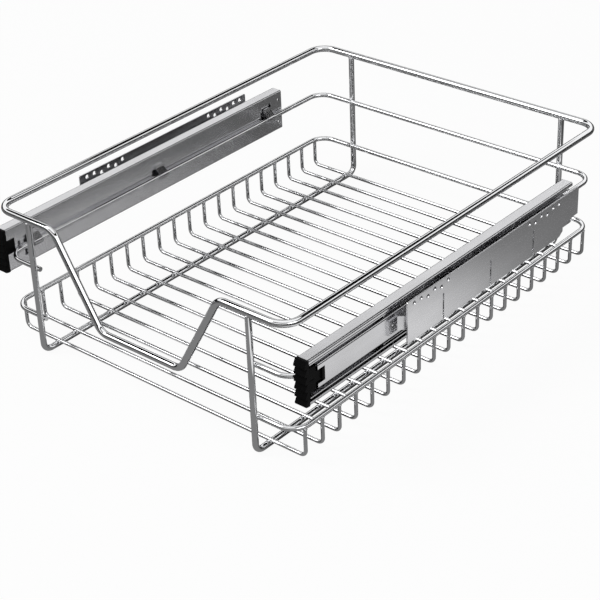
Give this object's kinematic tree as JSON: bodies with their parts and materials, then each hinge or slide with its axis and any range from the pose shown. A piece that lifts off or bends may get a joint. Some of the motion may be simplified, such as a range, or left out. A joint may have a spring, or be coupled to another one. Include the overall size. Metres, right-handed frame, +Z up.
{
  "type": "pull out cabinet basket",
  "caption": "Chromed wire pull-out basket with a dipped front handle, hung on two ball-bearing slides whose bracket plates screw to the cabinet's sides.",
  "frame": {"origin": "on the floor under the middle of the basket, level with the underside of the runners", "axes": "+X to the right seen from the front, +Y back into the cabinet, +Z up; the basket pulls out towards -Y"},
  "size_m": [0.4116, 0.483, 0.1496],
  "materials": {
    "chromed_wire": "bright chrome plating",
    "zinc_steel": "zinc-plated rolled steel",
    "ball_steel": "polished bearing balls",
    "bracket_steel": "zinc-plated flat sheet",
    "black_plastic": "moulded black plastic"
  },
  "bodies": {
    "cabinet_side": {"left_cabinet_member": "zinc_steel", "left_bracket_plate": "bracket_steel", "left_bracket_bridges": "bracket_steel", "left_bridge_rivets": "bracket_steel", "right_cabinet_member": "zinc_steel", "right_bracket_plate": "bracket_steel", "right_bracket_bridges": "bracket_steel", "right_bridge_rivets": "bracket_steel"},
    "basket": {"top_rim": "chromed_wire", "middle_rim": "chromed_wire", "lower_rim": "chromed_wire", "left_post_runner": "chromed_wire", "right_post_runner": "chromed_wire", "cross_wire_01": "chromed_wire", "cross_wire_02": "chromed_wire", "cross_wire_03": "chromed_wire", "cross_wire_04": "chromed_wire", "cross_wire_05": "chromed_wire", "cross_wire_06": "chromed_wire", "cross_wire_07": "chromed_wire", "cross_wire_08": "chromed_wire", "cross_wire_09": "chromed_wire", "cross_wire_10": "chromed_wire", "cross_wire_11": "chromed_wire", "cross_wire_12": "chromed_wire", "cross_wire_13": "chromed_wire", "cross_wire_14": "chromed_wire", "cross_wire_15": "chromed_wire", "cross_wire_16": "chromed_wire", "cross_wire_17": "chromed_wire", "cross_wire_18": "chromed_wire", "cross_wire_19": "chromed_wire", "cross_wire_20": "chromed_wire", "left_drawer_member": "zinc_steel", "left_front_bumper": "black_plastic", "right_drawer_member": "zinc_steel", "right_front_bumper": "black_plastic"},
    "left_intermediate": {"left_intermediate_member": "zinc_steel"},
    "left_outer_retainer": {"left_outer_ball_retainer": "zinc_steel", "left_outer_balls": "ball_steel"},
    "left_inner_retainer": {"left_inner_ball_retainer": "zinc_steel", "left_inner_balls": "ball_steel"},
    "right_intermediate": {"right_intermediate_member": "zinc_steel"},
    "right_outer_retainer": {"right_outer_ball_retainer": "zinc_steel", "right_outer_balls": "ball_steel"},
    "right_inner_retainer": {"right_inner_ball_retainer": "zinc_steel", "right_inner_balls": "ball_steel"}
  },
  "joints": [
    {"name": "basket_slide", "type": "slide", "parent": "cabinet_side", "child": "basket", "axis": [0, -1, 0], "range_m": [0, 0.35]},
    {"name": "left_intermediate_slide", "type": "slide", "parent": "cabinet_side", "child": "left_intermediate", "axis": [0, -1, 0], "range_m": [0, 0.175]},
    {"name": "left_outer_retainer_slide", "type": "slide", "parent": "cabinet_side", "child": "left_outer_retainer", "axis": [0, -1, 0], "range_m": [0, 0.2625]},
    {"name": "left_inner_retainer_slide", "type": "slide", "parent": "cabinet_side", "child": "left_inner_retainer", "axis": [0, -1, 0], "range_m": [0, 0.0875]},
    {"name": "right_intermediate_slide", "type": "slide", "parent": "cabinet_side", "child": "right_intermediate", "axis": [0, -1, 0], "range_m": [0, 0.175]},
    {"name": "right_outer_retainer_slide", "type": "slide", "parent": "cabinet_side", "child": "right_outer_retainer", "axis": [0, -1, 0], "range_m": [0, 0.2625]},
    {"name": "right_inner_retainer_slide", "type": "slide", "parent": "cabinet_side", "child": "right_inner_retainer", "axis": [0, -1, 0], "range_m": [0, 0.0875]}
  ],
  "couplings": [
    {"joint": "left_intermediate_slide", "follows": "basket_slide", "ratio": 0.5},
    {"joint": "left_outer_retainer_slide", "follows": "basket_slide", "ratio": 0.75},
    {"joint": "left_inner_retainer_slide", "follows": "basket_slide", "ratio": 0.25},
    {"joint": "right_intermediate_slide", "follows": "basket_slide", "ratio": 0.5},
    {"joint": "right_outer_retainer_slide", "follows": "basket_slide", "ratio": 0.75},
    {"joint": "right_inner_retainer_slide", "follows": "basket_slide", "ratio": 0.25}
  ]
}
